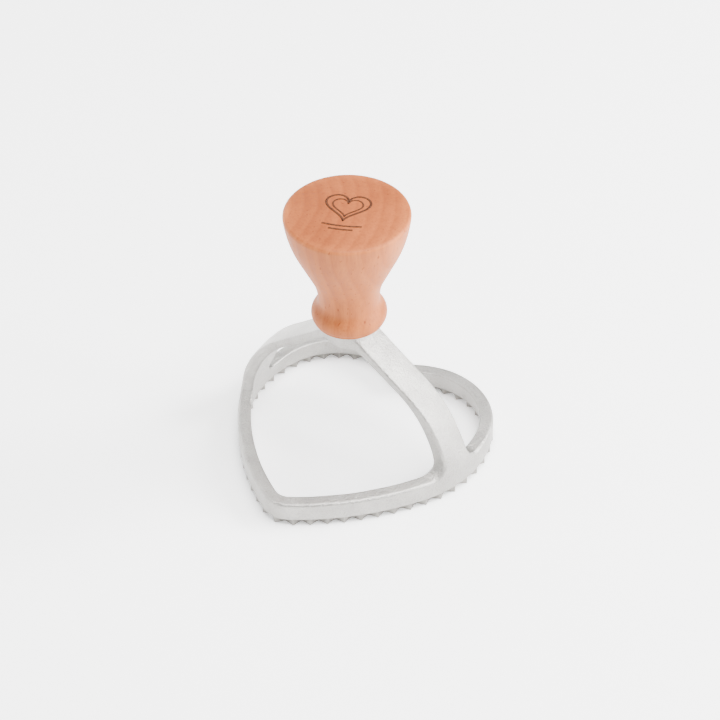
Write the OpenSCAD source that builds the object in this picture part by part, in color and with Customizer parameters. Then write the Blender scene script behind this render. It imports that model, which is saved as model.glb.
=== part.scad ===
// Heart-shaped ravioli and pastry stamp: a cast heart ring with a zigzag cutting edge,
// bridged by an arched handle bracket, and a turned wooden knob held by one screw.
// Millimetres. +Z is up. The origin is in the plane of the cutting edge, at the middle of the
// heart's width and length. The knob's axis stands a little behind it.
// The point of the heart is towards -Y, its two lobes towards +Y, and the bracket runs along X.

/* [Heart outline] */
// Distance of each lobe's centre from the plane of symmetry
lobe_x = 12.4; // [11:0.1:13.5]
// Distance of the lobes' centres behind the knob's axis
lobe_y = 10.6; // [9:0.1:12]
// Radius of the lobes
lobe_r = 21.9; // [21:0.1:23]
// Radius of the flanks, between the lobes and the sides
flank_r = 32.2; // [30:0.1:34]
// Direction in which a lobe turns into a flank
flank_a = 22; // [18:1:26]
// Radius of the long sides
side_r = 78; // [70:1:90]
// Direction in which a flank turns into a side
side_a = -31.5; // [-34:0.5:-29]
// Radius of the rounded point
tip_r = 8.2; // [6:0.1:10]

/* [Ring] */
// Height of the ring, teeth included
ring_h = 7.2; // [6:0.1:9]
// Width of the ring at its top
rim_w = 3.7; // [3.4:0.1:4.2]
// Width of the ring just above the teeth
foot_w = 2.9; // [2.9:0.05:3.2]
// Rounding of the outer top edge
rim_round = 1; // [0.6:0.1:1.2]
// Rounding of the inner top edge
lip_round = 0.4; // [0.2:0.1:0.6]

/* [Zigzag cutting edge] */
// Height of the teeth
tooth_h = 2; // [1.5:0.1:2.5]
// Teeth on each half of the heart
teeth_per_half = 24; // [18:1:28]
// Width of the zigzag from its outer points to its inner points
blade_w = 2.8; // [2.5:0.05:2.8]
// Depth of the notches
notch_d = 1.75; // [1.2:0.05:1.8]

/* [Bracket] */
// Width of the arms
arm_w = 9.3; // [8:0.1:10.5]
// Height at which the arms' upper faces would meet over the axis
arm_peak = 45.2; // [44.6:0.1:46]
// Height of the arms' section, measured upright at the axis
arm_depth = 3.5; // [3:0.1:4]
// Slope of the arms' upper faces
arm_slope = 36.5; // [35.5:0.5:38]
// Radius of the shoulders, outside
shoulder_r = 30.8; // [28:0.1:33]
// Radius of the shoulders, inside
shoulder_in_r = 26.9; // [25:0.1:29]
// Lean of the legs
leg_lean = 25; // [23:0.5:26]
// Fillet between the legs and the top of the ring
leg_fillet = 4; // [2:0.5:4.5]

/* [Boss] */
// Height of the face on which the knob sits
seat_z = 44.1; // [43:0.1:45]
// Diameter of the boss
boss_d = 12.2; // [11:0.1:13]
// Height of the boss
boss_h = 6; // [5:0.1:7]

/* [Knob] */
// Largest diameter of the knob
knob_d = 32.9; // [30:0.1:34]
// Height of the knob's widest place above the seat
knob_rim_h = 33.5; // [33:0.1:36]
// Diameter of the neck
neck_d = 16.1; // [15:0.1:17]
// Height of the neck above the seat
neck_h = 6.8; // [6.7:0.1:7.2]
// Largest diameter of the foot bead
bead_d = 19.9; // [19:0.1:21]
// Radius of the knob's domed top
dome_r = 160; // [60:10:300]

/* [Screw] */
// Diameter of the screw
screw_d = 4.5; // [4:0.1:5]
// Length of the screw
screw_l = 30; // [22:1:32]
// Diameter of the countersunk head
head_d = 8.4; // [8:0.1:9]

/* [Hidden] */
$fn = 128;
eps = 0.01;
big = 120;
// Faces that would otherwise be flush stand this far apart
inset = 0.05;
// Points along each tooth
steps = 8;

// Centres of the outline's arcs. Each arc runs on into the next with no corner.
lobe_c = [lobe_x, lobe_y];
flank_c = lobe_c - (flank_r - lobe_r) * [cos(flank_a), sin(flank_a)];
side_c = flank_c - (side_r - flank_r) * [cos(side_a), sin(side_a)];
tip_c = [0, side_c.y - sqrt(pow(side_r - tip_r, 2) - pow(side_c.x, 2))];
tip_a = atan2(tip_c.y - side_c.y, -side_c.x);

// Everything is drawn around the knob's axis, then moved so that the heart's middle is the origin
axis_y = (tip_r - tip_c.y - lobe_y - lobe_r) / 2;
module place() {
    translate([0, axis_y, 0]) children();
}

// Every arc as [centre, outer radius, first direction, last direction, steps], from point to cleft.
// The last arc ends in the plane of symmetry, whatever its depth inside the outline.
ARCS = [
    [tip_c, tip_r, -90, tip_a, 10],
    [side_c, side_r, tip_a, side_a, 12],
    [flank_c, flank_r, side_a, flank_a, 16],
    [lobe_c, lobe_r, flank_a, 90, 28]
];
function cleft_dir(depth) = 180 - acos(lobe_x / (lobe_r - depth));
function arc_end(i, depth) = i == 3 ? cleft_dir(depth) : ARCS[i][3];

// The line half-way through the zigzag, on which the teeth are evenly spaced
mid = blade_w / 2;
function arc_len(i) = (ARCS[i][1] - mid) * (arc_end(i, mid) - ARCS[i][2]) * PI / 180;
function len_before(i) = i == 0 ? 0 : len_before(i - 1) + arc_len(i - 1);
half_len = len_before(3) + arc_len(3);
pitch = half_len / teeth_per_half;

// The point at distance s along the middle line and at a depth inside the outer outline
function arc_at(s) = s < len_before(1) ? 0 : s < len_before(2) ? 1 : s < len_before(3) ? 2 : 3;
function on_arc(a, turn, depth) = a[0] + (a[1] - depth) * [cos(a[2] + turn), sin(a[2] + turn)];
function turn_at(i, s) = (s - len_before(i)) / (ARCS[i][1] - mid) * 180 / PI;
function at(s, depth) = on_arc(ARCS[arc_at(s)], turn_at(arc_at(s), s), depth);

// Depth of a notch, 0 at a point and 1 at its floor: straight flanks with a round floor
floor_round = 0.25;
function bend(v) = sqrt(v * v + floor_round * floor_round);
function notch(v) = (bend(1) - bend(v)) / (bend(1) - bend(0));
function notch_at(phase) = notch(abs(2 * (phase - floor(phase)) - 1));

// The legs stand on the flank arcs. Their faces would meet the ring's top this far from the axis.
leg_x = flank_c.x + flank_r + 0.6;
leg_in_x = flank_c.x + flank_r - rim_w;
arm_in_slope = arm_slope - 1;
function unit(a) = [cos(a), sin(a)];
function cross2(a, b) = a.x * b.y - a.y * b.x;
function meet(n1, d1, n2, d2) = [d1 * n2.y - d2 * n1.y, d2 * n1.x - d1 * n2.x] / cross2(n1, n2);
function arc_points(c, r, a0, a1, n) = [for (i = [0:n]) c + r * unit(a0 + (a1 - a0) * i / n)];

// The knob's outline: lip, bead, neck, hollow side, full side, shoulder and dome
lip_h = 0.6;
lip_r = bead_d / 2 - 0.75;
bead_r = 3.2;
bead_z = 2.3;
neck_fillet = 3;
hollow_r = 18;
full_r = 36;
rim_a = 6;
shoulder_k = 1;
bead_c = [bead_d / 2 - bead_r, bead_z];
neck_c = [neck_d / 2 + neck_fillet, neck_h];
hollow_c = [neck_d / 2 + hollow_r, neck_h];
full_c = [knob_d / 2 - full_r * cos(rim_a), knob_rim_h + full_r * sin(rim_a)];
hollow_to_full = full_c - hollow_c;
side_dir = atan2(hollow_to_full.y, hollow_to_full.x);
side_slope = acos(max(-1, -(full_r + hollow_r) / norm(hollow_to_full))) - side_dir;
bead_to_neck = neck_c - bead_c;
bead_a = atan2(bead_to_neck.y, bead_to_neck.x);
shoulder_kc = [knob_d / 2, knob_rim_h] - shoulder_k * unit(-rim_a);
dome_c = [0, shoulder_kc.y - sqrt(pow(dome_r - shoulder_k, 2) - pow(shoulder_kc.x, 2))];
dome_a = atan2(shoulder_kc.y - dome_c.y, shoulder_kc.x);

// A closed line at one depth inside the outline, from the point round the right lobe and back
function mirrored(line) = [for (i = [len(line) - 1:-1:0]) if (line[i].x > eps) [-line[i].x, line[i].y]];
function half_line(depth) = [
    for (i = [0:3])
        for (k = [(i == 0 ? 0 : 1):ARCS[i][4]])
            on_arc(ARCS[i], (arc_end(i, depth) - ARCS[i][2]) * k / ARCS[i][4], depth)
];
function whole_line(depth) = concat(half_line(depth), mirrored(half_line(depth)));

// The ring's section as [depth, height], swept round the heart
module ring() {
    section = concat(
        [[foot_w, tooth_h], [0, tooth_h]],
        arc_points([rim_round, ring_h - rim_round], rim_round, 180, 90, 5),
        arc_points([rim_w - lip_round, ring_h - lip_round], lip_round, 90, 10, 3));
    lines = [for (p = section) whole_line(p.x)];
    n = len(lines[0]);
    m = len(section);
    points = [for (i = [0:m - 1]) for (q = lines[i]) [q.x, q.y, section[i].y]];
    function corner(i, k) = (i % m) * n + k % n;
    faces = [
        for (i = [0:m - 1])
            for (k = [0:n - 1])
                for (f = [[corner(i, k), corner(i + 1, k), corner(i + 1, k + 1)],
                          [corner(i, k), corner(i + 1, k + 1), corner(i, k + 1)]])
                    f
    ];
    polyhedron(points, faces);
}

// The zigzag: outer points on the outline, inner points half a pitch further on
function zigzag_half(first, sign, shift) = [
    for (i = [0:teeth_per_half * steps])
        at(i / steps * pitch, first + sign * notch_d * notch_at(i / steps + shift))
];
function to_cleft(line) = [for (p = line) if (p.x > 0.1 || p.y < 0) p];
function closed(line) = concat(line, [[0, line[len(line) - 1].y]], mirrored(line));
module blade() {
    linear_extrude(tooth_h + 0.3)
        difference() {
            polygon(closed(to_cleft(zigzag_half(inset, 1, 0))));
            polygon(closed(to_cleft(zigzag_half(blade_w, -1, 0.5))));
        }
}

// The space under an arch: straight arms, round shoulders that touch the lines of arm and leg,
// and leaning legs
module arch(peak, slope, r, foot_x, lean, z) {
    arm_n = unit(90 - slope);
    leg_n = unit(lean);
    c = meet(arm_n, arm_n.y * peak - r, leg_n, leg_n * [foot_x, ring_h] - r);
    foot = [foot_x + (ring_h - z) * tan(lean), z];
    half = concat([foot], arc_points(c, r, lean, 90 - slope, 24));
    rotate([90, 0, 0])
        linear_extrude(big, center = true)
            polygon(concat(half, [[0, peak]], mirrored(half)));
}

// The arms' width, seen along X, with the fillets that spread over the ring
module arm_strip(z) {
    spread = arm_w / 2 + leg_fillet;
    rotate([90, 0, 90])
        linear_extrude(big, center = true) {
            translate([-arm_w / 2, z]) square([arm_w, big]);
            difference() {
                translate([-spread, z]) square([2 * spread, ring_h + leg_fillet - z]);
                for (side = [-1, 1]) translate([side * spread, ring_h + leg_fillet]) circle(leg_fillet);
            }
        }
}

// Round walls that the legs' outer and inner faces follow, as the ring does
module flanks(depth, z0, z1) {
    for (side = [-1, 1])
        translate([side * flank_c.x, flank_c.y, z0]) cylinder(h = z1 - z0, r = flank_r - depth);
}

// Both arms with their legs, which stand on the ring
module bracket() {
    z0 = ring_h - rim_round - 0.2;
    difference() {
        intersection() {
            arch(arm_peak, arm_slope, shoulder_r, leg_x, leg_lean, z0);
            arm_strip(z0);
            flanks(inset, z0, seat_z - inset);
        }
        intersection() {
            arch(arm_peak - arm_depth, arm_in_slope, shoulder_in_r, leg_in_x, leg_lean - 0.7, tooth_h);
            flanks(rim_w + inset, tooth_h, seat_z);
        }
    }
}

// Casting: ring, zigzag edge, bracket and boss in one piece of aluminium
module stamp_casting() {
    color("gainsboro") place()
        difference() {
            union() {
                ring();
                blade();
                bracket();
                translate([0, 0, seat_z - boss_h]) cylinder(h = boss_h, d = boss_d);
            }
            screw_room();
        }
}

// The space for the screw: a countersink that opens downwards, then a hole with some play
module screw_room() {
    r = screw_d / 2 + 0.15;
    translate([0, 0, seat_z - boss_h]) {
        translate([0, 0, -1]) cylinder(h = boss_h + 2, r = r);
        cylinder(h = head_d / 2 - r, r1 = head_d / 2, r2 = r);
        translate([0, 0, -1]) cylinder(h = 1, d = head_d);
    }
}

// Knob: turned from one piece of wood, with a blind hole for the screw
module knob() {
    outline = concat(
        [[0, 0], [lip_r, 0], [lip_r, lip_h]],
        arc_points(bead_c, bead_r, asin((lip_h - bead_z) / bead_r), bead_a, 12),
        arc_points(neck_c, neck_fillet, 180 + bead_a, 180, 8),
        arc_points(hollow_c, hollow_r, 180, 180 - side_slope, 10),
        arc_points(full_c, full_r, -side_slope, -rim_a, 10),
        arc_points(shoulder_kc, shoulder_k, -rim_a, dome_a, 8),
        arc_points(dome_c, dome_r, dome_a, 90, 10));
    color("burlywood") place()
        translate([0, 0, seat_z])
            difference() {
                rotate_extrude() polygon(outline);
                translate([0, 0, -1]) cylinder(h = screw_l - boss_h + 3, d = screw_d);
            }
}

// Countersunk wood screw, head down, with a cross recess
module knob_screw() {
    point_l = 3;
    neck_z = (head_d - screw_d) / 2;
    color("silver") place()
        translate([0, 0, seat_z - boss_h])
            difference() {
                union() {
                    cylinder(h = neck_z, d1 = head_d, d2 = screw_d);
                    translate([0, 0, neck_z]) cylinder(h = screw_l - neck_z - point_l, d = screw_d);
                    translate([0, 0, screw_l - point_l]) cylinder(h = point_l, d1 = screw_d, d2 = 0.6);
                }
                for (a = [0, 90]) rotate(a) cross_slot();
            }
}

module cross_slot() {
    slot_l = 4.6;
    slot_w = 0.9;
    slot_depth = 2.2;
    intersection() {
        translate([-slot_l / 2, -slot_w / 2, -1]) cube([slot_l, slot_w, slot_depth + 1]);
        translate([0, 0, -1]) cylinder(h = slot_depth + 1, d1 = slot_l + 1.4, d2 = 1.6);
    }
}

stamp_casting();
knob();
knob_screw();
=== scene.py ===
import math

import bmesh
import bpy
import numpy as np
from mathutils import Matrix, Vector
from mathutils.geometry import tessellate_polygon


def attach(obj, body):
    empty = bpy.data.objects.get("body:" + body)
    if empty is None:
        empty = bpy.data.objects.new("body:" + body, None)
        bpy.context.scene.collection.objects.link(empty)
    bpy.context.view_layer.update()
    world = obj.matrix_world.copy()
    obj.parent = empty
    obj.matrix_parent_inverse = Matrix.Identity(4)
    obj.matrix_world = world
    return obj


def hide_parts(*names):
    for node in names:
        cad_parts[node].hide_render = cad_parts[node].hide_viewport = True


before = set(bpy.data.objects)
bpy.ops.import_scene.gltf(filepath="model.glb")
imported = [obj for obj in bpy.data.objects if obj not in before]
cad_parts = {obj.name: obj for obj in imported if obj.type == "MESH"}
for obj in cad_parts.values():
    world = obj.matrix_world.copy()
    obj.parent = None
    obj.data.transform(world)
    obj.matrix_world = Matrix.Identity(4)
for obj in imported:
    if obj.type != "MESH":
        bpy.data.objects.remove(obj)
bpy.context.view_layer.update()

# ---------------------------------------------------------------- sizes, in millimetres
RING_H, RIM_W, FOOT_W, TOOTH_H = 7.2, 3.7, 2.9, 2.0
BLADE_W, NOTCH_D, TEETH = 2.8, 1.75, 24
ARM_HW, FILLET = 4.65, 4.0  # half the arms' width, and the fillet where legs meet the ring
ARM_PEAK, ARM_DEPTH, ARM_SLOPE = 45.2, 3.5, 36.5
SHOULDER_R, SHOULDER_IN_R = 30.8, 26.9
LEG_X, LEG_IN_X, LEG_LEAN = 35.66, 31.35, 25
SEAT_Z, BOSS_R, BOSS_Z = 44.1, 6.1, 38.1
HOLE_R, COUNTERSINK_R = 2.4, 4.22
MM = 0.001  # metres in a millimetre
STEP = 0.29  # grid of the casting's surface
AXIS_Y = 2.3533  # the knob's axis, measured from the origin; shapes are made around that axis


def unit(a):
    return np.array([math.cos(a), math.sin(a)])


# The heart's outline: point, side, flank and lobe, each arc running into the next.
# The tooth line runs half-way through the zigzag, and the teeth are evenly spaced on it.
TIP_R, SIDE_R, FLANK_R, LOBE_R = 8.2, 78.0, 32.2, 21.9
FLANK_A, SIDE_A = math.radians(22), math.radians(-31.5)
LOBE = np.array([12.4, 10.6])
FLANK = LOBE - (FLANK_R - LOBE_R) * unit(FLANK_A)
SIDE = FLANK - (SIDE_R - FLANK_R) * unit(SIDE_A)
TIP = np.array([0.0, SIDE[1] - math.sqrt((SIDE_R - TIP_R) ** 2 - SIDE[0] ** 2)])
TIP_A = math.atan2(TIP[1] - SIDE[1], -SIDE[0])
MID = BLADE_W / 2
ARCS = [
    (TIP, TIP_R, -math.pi / 2, TIP_A),
    (SIDE, SIDE_R, TIP_A, SIDE_A),
    (FLANK, FLANK_R, SIDE_A, FLANK_A),
    (LOBE, LOBE_R, FLANK_A, math.pi - math.acos(LOBE[0] / (LOBE_R - MID))),
]
LENS = [(r - MID) * (a1 - a0) for _, r, a0, a1 in ARCS]
PITCH = sum(LENS) / TEETH


def heart(x, y):
    """Depth inside the heart's outline."""
    x = np.abs(x)
    which = np.zeros(np.broadcast(x, y).shape, int)
    for i in (1, 2, 3):
        c, a = ARCS[i][0], ARCS[i][2]
        which[(math.cos(a) * (y - c[1]) - math.sin(a) * (x - c[0])) > 0] = i
    depth = np.zeros(which.shape)
    for i, (c, r, _, _) in enumerate(ARCS):
        depth = np.where(which == i, r - np.hypot(x - c[0], y - c[1]), depth)
    return depth


def along_heart(s, depth):
    """The point at distance s on the tooth line, moved to a depth inside the outline."""
    i = 0
    while i < 3 and s > LENS[i]:
        s -= LENS[i]
        i += 1
    c, r, a0, _ = ARCS[i]
    return c + (r - depth) * unit(a0 + s / (r - MID))


def round_union(a, b, r):
    """Either part, with a fillet of radius r between them."""
    return np.maximum(r, np.minimum(a, b)) - np.hypot(np.maximum(r - a, 0), np.maximum(r - b, 0))


def round_cut(a, b, r):
    """The part inside both, with the edge between them rounded."""
    return -round_union(-a, -b, r)


def soft_max(a, b, k):
    """The part inside both, with their faces blended over a width of k."""
    h = np.maximum(k - np.abs(a - b), 0) / k
    return np.maximum(a, b) + h * h * k / 4


def arch(x, z, peak, slope, r, foot_x, lean):
    """Distance outside a straight arm, a round shoulder and a leaning leg."""
    na, nl = unit(math.pi / 2 - slope), unit(lean)
    da, dl = na[1] * peak, nl @ np.array([foot_x, RING_H])
    c = np.linalg.solve(np.array([na, nl]), np.array([da - r, dl - r]))
    turn = np.arctan2(z - c[1], x - c[0])
    arm, leg = na[0] * x + na[1] * z - da, nl[0] * x + nl[1] * z - dl
    bend = np.hypot(x - c[0], z - c[1]) - r
    return np.where(turn < lean, leg, np.where(turn > math.pi / 2 - slope, arm, bend))


def notch(phase):
    """Depth of a notch, 0 at a point and 1 at its floor: straight flanks with a round floor."""
    v = np.abs(2 * (phase - np.floor(phase)) - 1)
    e = 0.25
    return (math.sqrt(1 + e * e) - np.sqrt(v * v + e * e)) / (math.sqrt(1 + e * e) - e)


def casting(x, y, z):
    """Signed distance, negative in the metal: ring, legs, arms and boss."""
    depth = heart(x, y)
    ax, ay = np.abs(x), np.abs(y)
    sway = 0.03 * np.sin(x * 0.31 + y * 0.23 + 1.3) * np.sin(y * 0.37 - x * 0.11)
    sway = sway + 0.02 * np.sin(z * 0.5 + x * 0.7)
    over = arch(ax, z, ARM_PEAK, math.radians(ARM_SLOPE), SHOULDER_R, LEG_X, math.radians(LEG_LEAN))
    crown = 0.3 * np.minimum(ay / ARM_HW, 1.3) ** 2
    seam = 0.1 * np.exp(-(((over + 1.5) / 0.35) ** 2)) * np.clip((z - 9) / 4, 0, 1)
    top = round_union(z - RING_H + sway, ay - ARM_HW - seam + sway, FILLET)
    out = soft_max(-depth, over + crown, 2.4)
    wall = RIM_W - np.clip(RING_H - z, 0, 6) * (RIM_W - FOOT_W) / (RING_H - TOOTH_H)
    in_slope, in_lean = math.radians(ARM_SLOPE - 1), math.radians(LEG_LEAN - 0.7)
    under = arch(ax, z, ARM_PEAK - ARM_DEPTH, in_slope, SHOULDER_IN_R, LEG_IN_X, in_lean)
    void = soft_max(under, wall - depth, 2.0)
    edge = 0.85 - 0.35 * np.clip((z - 9) / 5, 0, 1)
    body = round_cut(top, out, edge)
    body = round_cut(body, -void, 0.4)
    body = round_cut(body, TOOTH_H - 0.05 - z, 0.2)
    boss = round_cut(np.hypot(x, y) - BOSS_R, BOSS_Z - z, 0.5)
    body = np.maximum(round_union(body, boss, 1.3), z - SEAT_Z)
    bore = np.hypot(x, y) - np.maximum(HOLE_R, COUNTERSINK_R - (z - BOSS_Z))
    body = np.maximum(body, -np.maximum(bore, BOSS_Z - 3 - z))
    return body


def surface(f, lo, hi, step):
    """A closed mesh on the zero level of f, by surface nets on an even grid."""
    ax = [np.arange(a, b + step, step) for a, b in zip(lo, hi)]
    val = np.full([len(a) for a in ax], 1.0, np.float32)
    # the ring needs the whole plan, the arch only a narrow strip of it
    low = ax[2] < RING_H + FILLET + 0.6
    strip = np.abs(ax[1]) < ARM_HW + FILLET + 1.2
    k = int(low.sum())
    j0, j1 = np.flatnonzero(strip)[[0, -1]]
    val[:, :, :k] = f(ax[0][:, None, None], ax[1][None, :, None], ax[2][None, None, :k])
    val[:, j0 : j1 + 1, k:] = f(ax[0][:, None, None], ax[1][None, j0 : j1 + 1, None], ax[2][None, None, k:])
    inside = val < 0
    n = np.zeros([s - 1 for s in val.shape], np.int8)
    corners = [(a, b, c) for a in (0, 1) for b in (0, 1) for c in (0, 1)]
    for a, b, c in corners:
        n += inside[a : a + n.shape[0], b : b + n.shape[1], c : c + n.shape[2]]
    cell = np.argwhere((n > 0) & (n < 8))
    ids = np.full(n.shape, -1, np.int32)
    ids[tuple(cell.T)] = np.arange(len(cell))
    at = {c: val[cell[:, 0] + c[0], cell[:, 1] + c[1], cell[:, 2] + c[2]] for c in corners}
    total, count = np.zeros((len(cell), 3)), np.zeros(len(cell))
    for c in corners:
        for axis in range(3):
            if c[axis]:
                continue
            d = tuple(1 if i == axis else c[i] for i in range(3))
            cross = (at[c] < 0) != (at[d] < 0)
            t = np.where(cross, at[c] / np.where(cross, at[c] - at[d], 1), 0)
            p = np.tile(np.array(c, float), (len(cell), 1))
            p[:, axis] = t
            total += np.where(cross[:, None], p, 0)
            count += cross
    verts = np.array([a[0] for a in ax]) + step * (cell + total / count[:, None])
    quads = []
    for axis in range(3):
        u, v = [(1, 2), (2, 0), (0, 1)][axis]
        a = np.take(inside, range(inside.shape[axis] - 1), axis)
        b = np.take(inside, range(1, inside.shape[axis]), axis)
        e = np.argwhere(a != b)
        flip = a[tuple(e.T)]
        q = []
        for du, dv in ((0, 0), (-1, 0), (-1, -1), (0, -1)):
            c = e.copy()
            c[:, u] += du
            c[:, v] += dv
            q.append(ids[tuple(c.T)])
        q = np.stack(q, 1)
        q[~flip] = q[~flip][:, ::-1]
        quads.append(q)
    quads = np.concatenate(quads)
    for _ in range(3):
        g, h = np.zeros_like(verts), 0.02
        d = f(*verts.T)
        for i in range(3):
            s = np.zeros(3)
            s[i] = h
            g[:, i] = (f(*(verts + s).T) - f(*(verts - s).T)) / (2 * h)
        move = -(d / np.maximum((g * g).sum(1), 0.3))[:, None] * g
        size = np.linalg.norm(move, axis=1, keepdims=True)
        verts = verts + move * np.minimum(1, 0.6 * step / np.maximum(size, 1e-9))
    return verts, quads


def mesh_object(name, verts, faces, material, node):
    me = bpy.data.meshes.new(name)
    places = (np.asarray(verts) + (0, AXIS_Y, 0)) * MM
    me.from_pydata(places.tolist(), [], [list(map(int, f)) for f in faces])
    me.validate()
    me.update()
    ob = bpy.data.objects.new(name, me)
    bpy.context.scene.collection.objects.link(ob)
    me.materials.append(material)
    me.shade_smooth()
    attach(ob, "root")
    if node:
        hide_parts(node)
    return ob


# ---------------------------------------------------------------- materials
def material(name):
    m = bpy.data.materials.new(name)
    m.use_nodes = True
    return m, m.node_tree, m.node_tree.nodes["Principled BSDF"]


def add(tree, kind, **values):
    n = tree.nodes.new(kind)
    for key, value in values.items():
        if key in n.inputs:
            n.inputs[key].default_value = value
        else:
            setattr(n, key, value)
    return n


def noise(tree, scale, detail=3.0, rough=0.55, stretch=None):
    co = add(tree, "ShaderNodeTexCoord")
    src = co.outputs["Object"]
    if stretch:
        mp = add(tree, "ShaderNodeMapping")
        mp.inputs["Scale"].default_value = stretch
        tree.links.new(src, mp.inputs["Vector"])
        src = mp.outputs["Vector"]
    n = add(tree, "ShaderNodeTexNoise")
    n.inputs["Scale"].default_value = scale
    n.inputs["Detail"].default_value = detail
    n.inputs["Roughness"].default_value = rough
    tree.links.new(src, n.inputs["Vector"])
    return n.outputs["Fac"]


def ramp(tree, src, stops):
    r = add(tree, "ShaderNodeValToRGB")
    e = r.color_ramp.elements
    while len(e) < len(stops):
        e.new(0.5)
    for i, (pos, col) in enumerate(stops):
        e[i].position = pos
        e[i].color = (*col, 1) if len(col) == 3 else col
    tree.links.new(src, r.inputs["Fac"])
    return r.outputs["Color"]


def grey(tree, src, lo, hi, a=0.0, b=1.0):
    n = add(tree, "ShaderNodeMapRange")
    n.inputs["From Min"].default_value = lo
    n.inputs["From Max"].default_value = hi
    n.inputs["To Min"].default_value = a
    n.inputs["To Max"].default_value = b
    tree.links.new(src, n.inputs["Value"])
    return n.outputs["Result"]


def mix(tree, kind, fac, a, b):
    n = add(tree, "ShaderNodeMix", data_type="RGBA", blend_type=kind)
    for key, value in (("Factor", fac), ("A", a), ("B", b)):
        s = [s for s in n.inputs if s.name == key and s.enabled][0]
        if isinstance(value, bpy.types.NodeSocket):
            tree.links.new(value, s)
        else:
            s.default_value = value
    return [o for o in n.outputs if o.enabled][0]


def bump(tree, height, strength, distance, normal=None):
    n = add(tree, "ShaderNodeBump")
    n.inputs["Strength"].default_value = strength
    n.inputs["Distance"].default_value = distance
    tree.links.new(height, n.inputs["Height"])
    if normal:
        tree.links.new(normal, n.inputs["Normal"])
    return n.outputs["Normal"]


def cast_aluminium():
    m, t, bsdf = material("cast_aluminium")
    grain = noise(t, 2600, 4, 0.6)
    cloud = noise(t, 160, 3, 0.5)
    fleck = noise(t, 1100, 2, 0.5)
    base = ramp(t, cloud, [(0.3, (0.35, 0.338, 0.318)), (0.7, (0.43, 0.417, 0.395))])
    base = mix(t, "MULTIPLY", 0.5, base, ramp(t, grain, [(0.38, (0.62, 0.62, 0.62)), (0.62, (1, 1, 1))]))
    base = mix(t, "MULTIPLY", grey(t, fleck, 0.62, 0.72, 0.0, 0.35), base, (0.62, 0.58, 0.54, 1))
    # Painted shade: below 1.7 mm of height the base colour is darkened to about 0.8, fading out by 2.3 mm,
    # so the teeth look as shaded as their flanks
    base = mix(t, "MULTIPLY", height_mask(t, 2.3, 1.7), base, (0.8, 0.79, 0.77, 1))
    t.links.new(base, bsdf.inputs["Base Color"])
    bsdf.inputs["Metallic"].default_value = 1.0
    t.links.new(grey(t, grain, 0.3, 0.7, 0.32, 0.48), bsdf.inputs["Roughness"])
    n = bump(t, cloud, 0.25, 0.0006)
    n = bump(t, fleck, 0.45, 0.0004, n)
    n = bump(t, grain, 1.0, 0.0002, n)
    t.links.new(n, bsdf.inputs["Normal"])
    return m


def height_mask(tree, lo, hi):
    """0 below lo and 1 above hi, in millimetres of height."""
    co = add(tree, "ShaderNodeTexCoord")
    sep = add(tree, "ShaderNodeSeparateXYZ")
    tree.links.new(co.outputs["Object"], sep.inputs["Vector"])
    return grey(tree, sep.outputs["Z"], lo * MM, hi * MM)


def growth_rings(tree):
    """Rings of the trunk, whose centre is well outside the knob."""
    co = add(tree, "ShaderNodeTexCoord")
    mp = add(tree, "ShaderNodeMapping")
    mp.inputs["Location"].default_value = (0.031, 0.012, 0)
    mp.inputs["Scale"].default_value = (1, 1, 0.04)
    tree.links.new(co.outputs["Object"], mp.inputs["Vector"])
    w = add(tree, "ShaderNodeTexWave", wave_type="RINGS", rings_direction="Z", wave_profile="SAW")
    w.inputs["Scale"].default_value = 95
    w.inputs["Distortion"].default_value = 1.6
    w.inputs["Detail"].default_value = 3
    w.inputs["Detail Scale"].default_value = 1.2
    tree.links.new(mp.outputs["Vector"], w.inputs["Vector"])
    return w.outputs["Fac"]


def turned_wood():
    m, t, bsdf = material("turned_wood")
    fibre = noise(t, 1500, 4, 0.6, (1.0, 1.0, 0.07))
    cloud = noise(t, 70, 3, 0.5, (1.0, 1.0, 0.5))
    speck = noise(t, 1300, 1, 0.4, (1.0, 1.0, 0.45))
    rings = growth_rings(t)
    dark, middle, light = (0.33, 0.093, 0.022), (0.39, 0.115, 0.03), (0.45, 0.14, 0.039)
    base = ramp(t, cloud, [(0.32, dark), (0.5, middle), (0.68, light)])
    late_wood = ramp(t, rings, [(0.0, (0.8, 0.73, 0.68)), (0.8, (1, 1, 1)), (1.0, (0.88, 0.83, 0.79))])
    base = mix(t, "MULTIPLY", 0.7, base, late_wood)
    base = mix(t, "MULTIPLY", 0.5, base, ramp(t, fibre, [(0.36, (0.72, 0.64, 0.6)), (0.58, (1, 1, 1))]))
    base = mix(t, "MULTIPLY", grey(t, speck, 0.7, 0.76, 0.0, 0.6), base, (0.42, 0.3, 0.24, 1))
    base = mix(t, "MULTIPLY", height_mask(t, 78.2, 78.9), base, (0.64, 0.55, 0.47, 1))
    t.links.new(base, bsdf.inputs["Base Color"])
    t.links.new(grey(t, fibre, 0.3, 0.7, 0.46, 0.64), bsdf.inputs["Roughness"])
    bsdf.inputs["Specular IOR Level"].default_value = 0.16
    n = bump(t, fibre, 0.2, 0.0002)
    t.links.new(n, bsdf.inputs["Normal"])
    return m


def burnt_wood():
    m, t, bsdf = material("burnt_wood")
    char = noise(t, 1800, 3)
    base = ramp(t, char, [(0.35, (0.03, 0.011, 0.006)), (0.7, (0.085, 0.032, 0.016))])
    t.links.new(base, bsdf.inputs["Base Color"])
    t.links.new(grey(t, char, 0.3, 0.7, 0.85, 1.0), bsdf.inputs["Roughness"])
    bsdf.inputs["Specular IOR Level"].default_value = 0.05
    return m


def plated_steel():
    m, t, bsdf = material("plated_steel")
    wear = noise(t, 1500, 3)
    base = ramp(t, wear, [(0.3, (0.5, 0.5, 0.48)), (0.7, (0.66, 0.66, 0.64))])
    t.links.new(base, bsdf.inputs["Base Color"])
    bsdf.inputs["Metallic"].default_value = 1.0
    t.links.new(grey(t, wear, 0.3, 0.7, 0.25, 0.42), bsdf.inputs["Roughness"])
    return m


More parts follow.
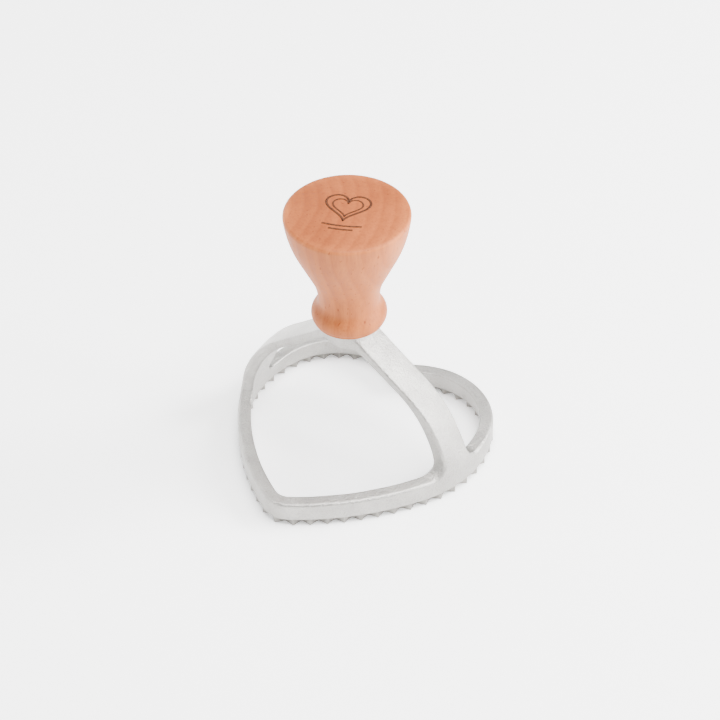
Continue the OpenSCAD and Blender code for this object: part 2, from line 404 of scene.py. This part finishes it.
METAL, WOOD, STEEL, BURNT = cast_aluminium(), turned_wood(), plated_steel(), burnt_wood()

# ---------------------------------------------------------------- casting
def blade():
    """The zigzag edge: flat ends and upright flanks, its top sunk into the ring."""
    n = 10
    lines = []
    for side, shift, start in ((1, 0.0, 0.02), (-1, 0.5, BLADE_W)):
        half = []
        for k in range(TEETH * n + 1):
            d = start + side * NOTCH_D * float(notch(np.float64(k / n + shift)))
            p = along_heart(k / n * PITCH, d)
            if p[0] > 0.1 or p[1] < 0:
                half.append((max(p[0], 0.0), p[1]))
        half.append((0.0, half[-1][1]))
        lines.append(half + [(-x, y) for x, y in half[-2:0:-1]])
    # upright walls at the outer and inner lines, and a flat band between them at both ends
    bm = bmesh.new()
    rows = [[[bm.verts.new((x, y, z)) for x, y in line] for z in (0.0, TOOTH_H + 0.35)] for line in lines]
    for low, high in rows:
        for k in range(len(low)):
            bm.faces.new((low[k - 1], low[k], high[k], high[k - 1]))
    flat = tessellate_polygon([[Vector((x, y, 0)) for x, y in line] for line in lines])
    for level in (0, 1):
        band = rows[0][level] + rows[1][level]
        for tri in flat:
            bm.faces.new([band[k] for k in tri])
    bmesh.ops.recalc_face_normals(bm, faces=bm.faces)
    bm.verts.index_update()
    v, f = [tuple(q.co) for q in bm.verts], [tuple(q.index for q in face.verts) for face in bm.faces]
    bm.free()
    return v, f


verts, quads = surface(casting, (-35.6, -37.8, 1.3), (35.6, 33.0, 44.7), STEP)
edge_verts, edge_faces = blade()
n = len(verts)
verts = np.concatenate([verts, np.array(edge_verts)])
quads = quads.tolist() + [tuple(k + n for k in f) for f in edge_faces]
shell = mesh_object("casting", verts, quads, METAL, "stamp_casting")
shell.data.set_sharp_from_angle(angle=math.radians(38))


# ---------------------------------------------------------------- knob
def arc(c, r, a0, a1, n):
    turns = np.linspace(math.radians(a0), math.radians(a1), n)
    return [(c[0] + r * math.cos(a), c[1] + r * math.sin(a)) for a in turns]


# The knob's outline, measured from its axis and from the seat
BORE_R, LIP_R = 2.3, 9.25
BEAD, BEAD_R = (6.75, 2.3), 3.2
NECK_R, NECK_Z, NECK_FILLET, NECK_TURN = 8.05, 6.8, 3.0, 46.3
HOLLOW_R, FULL_R, DOME_R, EDGE_R = 18, 36, 160, 1.0
KNOB_R, RIM_Z, RIM_LEAN = 16.45, 33.5, 6
RIM_A = math.radians(RIM_LEAN)
EDGE = (KNOB_R - EDGE_R * math.cos(RIM_A), RIM_Z + EDGE_R * math.sin(RIM_A))
DOME_Z = EDGE[1] - math.sqrt((DOME_R - EDGE_R) ** 2 - EDGE[0] ** 2)


def knob_outline():
    """Bottom face, lip, bead, neck, hollow side, full side, rounded edge and domed top."""
    full = (KNOB_R - FULL_R * math.cos(RIM_A), RIM_Z + FULL_R * math.sin(RIM_A))
    hollow = (NECK_R + HOLLOW_R, NECK_Z)
    dx, dz = full[0] - hollow[0], full[1] - hollow[1]
    lean = math.degrees(math.acos(-(HOLLOW_R + FULL_R) / math.hypot(dx, dz)) - math.atan2(dz, dx))
    dome_a = math.degrees(math.atan2(EDGE[1] - DOME_Z, EDGE[0]))
    pts = [(BORE_R, 0.0), (5.0, 0.0), (LIP_R - 0.35, 0.0)]
    pts += arc((LIP_R - 0.2, 0.2), 0.2, -80, 0, 4)
    pts += arc((LIP_R - 0.25, 0.52), 0.25, 0, 80, 4)
    pts += arc(BEAD, BEAD_R, math.degrees(math.asin(-1.45 / BEAD_R)), NECK_TURN, 22)
    pts += arc((NECK_R + NECK_FILLET, NECK_Z), NECK_FILLET, 180 + NECK_TURN, 180, 14)[1:]
    pts += arc(hollow, HOLLOW_R, 180, 180 - lean, 16)[1:]
    pts += arc(full, FULL_R, -lean, -RIM_LEAN, 24)
    pts += arc(EDGE, EDGE_R, -RIM_LEAN, dome_a, 12)[1:]
    pts += [(r, DOME_Z + math.sqrt(DOME_R**2 - r * r)) for r in np.linspace(15.2, 0.4, 24)]
    return pts


def lathe(name, outline, n, mat, node, z0):
    o = np.array(outline)
    a = np.linspace(0, 2 * math.pi, n, endpoint=False)
    x, y = np.outer(o[:, 0], np.cos(a)), np.outer(o[:, 0], np.sin(a))
    v = np.stack([x, y, np.outer(o[:, 1] + z0, np.ones(n))], -1).reshape(-1, 3)
    f = []
    for i in range(len(o) - 1):
        for j in range(n):
            k = (j + 1) % n
            f.append((i * n + j, i * n + k, (i + 1) * n + k, (i + 1) * n + j))
    f.append(tuple(range(n - 1, -1, -1)))
    f.append(tuple((len(o) - 1) * n + j for j in range(n)))
    return mesh_object(name, v, f, mat, node)


handle = lathe("wood_knob", knob_outline(), 256, WOOD, "knob", SEAT_Z)
handle.data.set_sharp_from_angle(angle=math.radians(40))


# Two plain hearts, one in the other, and two short strokes, burnt into the knob's top
MARK_TURN, MARK_AT, MARK_SIZE = math.radians(22), (-0.8, 1.6), 0.36
PROUD, SUNK = 0.012, 0.25


def knob_top_z(x, y):
    return SEAT_Z + DOME_Z + math.sqrt(DOME_R**2 - x * x - y * y)


def burnt_line(name, points, width, shut):
    """A thin closed strip along the points, sunk into the knob's top and 0.012 mm proud of it."""
    c, s = math.cos(MARK_TURN), math.sin(MARK_TURN)
    p = np.array(points)
    if shut:
        d = np.roll(p, -1, 0) - np.roll(p, 1, 0)
    else:
        d = np.gradient(p, axis=0)
    d /= np.linalg.norm(d, axis=1)[:, None]
    side = np.stack([-d[:, 1], d[:, 0]], 1) * width / 2
    rings = []
    for off, dz in ((side, PROUD), (side, -SUNK), (-side, -SUNK), (-side, PROUD)):
        q = p + off
        x = MARK_AT[0] + c * q[:, 0] - s * q[:, 1]
        y = MARK_AT[1] + s * q[:, 0] + c * q[:, 1]
        rings.append(np.stack([x, y, [knob_top_z(a, b) + dz for a, b in zip(x, y)]], 1))
    v = np.stack(rings, 1).reshape(-1, 3)
    n = len(p)
    f = []
    for i in range(n if shut else n - 1):
        for k in range(4):
            f.append(tuple((i + e) % n * 4 + (k + g) % 4 for e, g in ((0, 0), (1, 0), (1, 1), (0, 1))))
    if not shut:
        f += [(0, 1, 2, 3), tuple((n - 1) * 4 + k for k in (3, 2, 1, 0))]
    return mesh_object(name, v, f, BURNT, None)


a = np.linspace(0, 2 * math.pi, 96, endpoint=False)
heart_y = 13 * np.cos(a) - 5 * np.cos(2 * a) - 2 * np.cos(3 * a) - np.cos(4 * a)
heart_line = MARK_SIZE * np.stack([16 * np.sin(a) ** 3, heart_y], 1)
burnt_line("burnt_heart", heart_line, 0.66, True)
burnt_line("burnt_heart_inner", heart_line * 0.68 + (0, -0.3), 0.5, True)
for k, (y, w) in enumerate(((-8.2, 5.2), (-9.6, 3.2))):
    x = np.linspace(-w, w, 24)
    burnt_line("burnt_stroke_%d" % (k + 1), np.stack([x, y + 0.02 * x * x], 1), 0.6, False)

# ---------------------------------------------------------------- screw
screw = bpy.data.objects["knob_screw"]
screw.data.materials.clear()
screw.data.materials.append(STEEL)

# ---------------------------------------------------------------- floor, light and camera
bpy.ops.mesh.primitive_plane_add(size=6, location=(0, 0, 0))
floor = bpy.context.object
floor.name = "floor"
fm, _, fb = material("pale_floor")
fb.inputs["Base Color"].default_value = (0.9, 0.9, 0.9, 1)
fb.inputs["Roughness"].default_value = 0.9
fb.inputs["Emission Color"].default_value = (1, 1, 1, 1)
fb.inputs["Emission Strength"].default_value = 0.6
floor.data.materials.append(fm)


def area(name, pos, size, power, target=(0, 0, 0.03), color=(1, 1, 1)):
    d = bpy.data.lights.new(name, "AREA")
    d.shape, d.size, d.size_y = "RECTANGLE", size[0], size[1]
    d.energy, d.color = power, color
    o = bpy.data.objects.new(name, d)
    bpy.context.scene.collection.objects.link(o)
    o.location = pos
    o.rotation_euler = (Vector(target) - Vector(pos)).to_track_quat("-Z", "Y").to_euler()
    return o


area("top", (0.25, 0.0, 1.2), (0.9, 0.9), 55)
area("key", (0.62, 0.62, 0.62), (0.42, 0.42), 27)
area("side", (0.92, 0.3, 0.28), (0.4, 0.4), 18)
area("left", (-1.0, 0.5, 0.16), (0.6, 0.3), 9)
area("back", (-0.62, 0.72, 0.72), (0.5, 0.4), 2.5)
area("fill", (-0.8, -0.5, 0.3), (0.5, 0.4), 8)
world = bpy.data.worlds.new("studio")
bpy.context.scene.world = world
world.use_nodes = True
world.node_tree.nodes["Background"].inputs["Color"].default_value = (1, 1, 1, 1)
world.node_tree.nodes["Background"].inputs["Strength"].default_value = 0.45

az, el, dist, roll = 0.599250265, 0.716947287, 0.820380923, 0.023723887
back = Vector((math.sin(az) * math.cos(el), -math.cos(az) * math.cos(el), math.sin(el)))
right = Vector((math.cos(az), math.sin(az), 0))
up = back.cross(right)
cx = right * math.cos(roll) - up * math.sin(roll)
cy = right * math.sin(roll) + up * math.cos(roll)
cam = bpy.data.cameras.new("camera")
cam.lens, cam.sensor_width = 154.207, 36
cam.shift_x, cam.shift_y = 0.0126833, 0.0305014
cam.clip_start = 0.01
eye = bpy.data.objects.new("camera", cam)
bpy.context.scene.collection.objects.link(eye)
pos = Vector((0, AXIS_Y * MM, 0.021583)) + back * dist
eye.matrix_world = Matrix.Translation(pos) @ Matrix((cx, cy, back)).transposed().to_4x4()
bpy.context.scene.camera = eye
